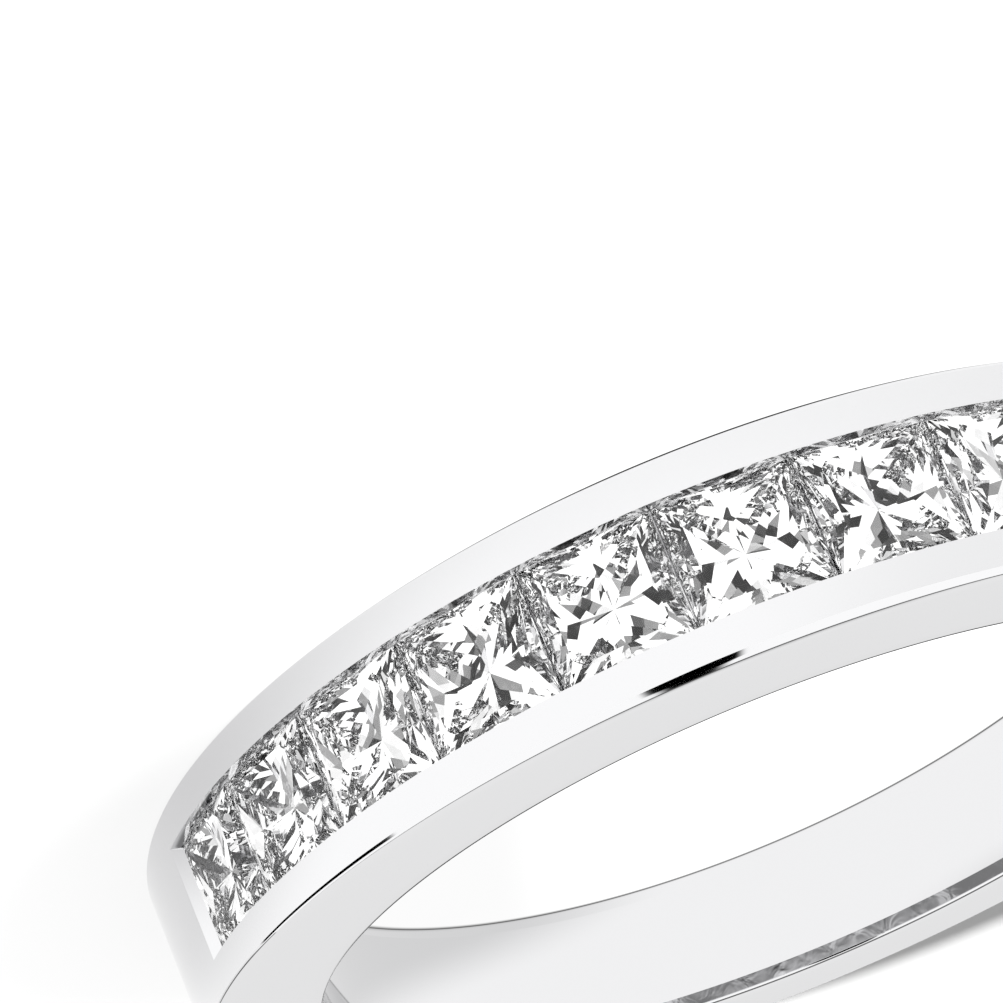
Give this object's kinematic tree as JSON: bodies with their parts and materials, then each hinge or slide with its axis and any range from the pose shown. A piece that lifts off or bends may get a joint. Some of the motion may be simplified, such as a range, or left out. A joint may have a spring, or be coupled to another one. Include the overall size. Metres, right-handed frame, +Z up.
{
  "type": "channel set band ring",
  "caption": "Finger ring with a tapering polished white gold band and square cut clear stones set edge to edge in a channel over its front half.",
  "frame": {"origin": "centre of the finger hole, on its axis, half way between the two side faces", "axes": "+Z up from the flat side that the ring lies on, -Y towards the middle stone, +X along the row towards the stones that the picture shows"},
  "size_m": [0.0214, 0.0214, 0.0038],
  "materials": {
    "white_gold": "18 carat white gold, rhodium plated and mirror polished",
    "diamond": "clear colourless diamond, square brilliant cut, polished facets"
  },
  "bodies": {
    "root": {"band": "white_gold", "stone_01": "diamond", "stone_02": "diamond", "stone_03": "diamond", "stone_04": "diamond", "stone_05": "diamond", "stone_06": "diamond", "stone_07": "diamond", "stone_08": "diamond", "stone_09": "diamond", "stone_10": "diamond", "stone_11": "diamond"}
  },
  "joints": []
}
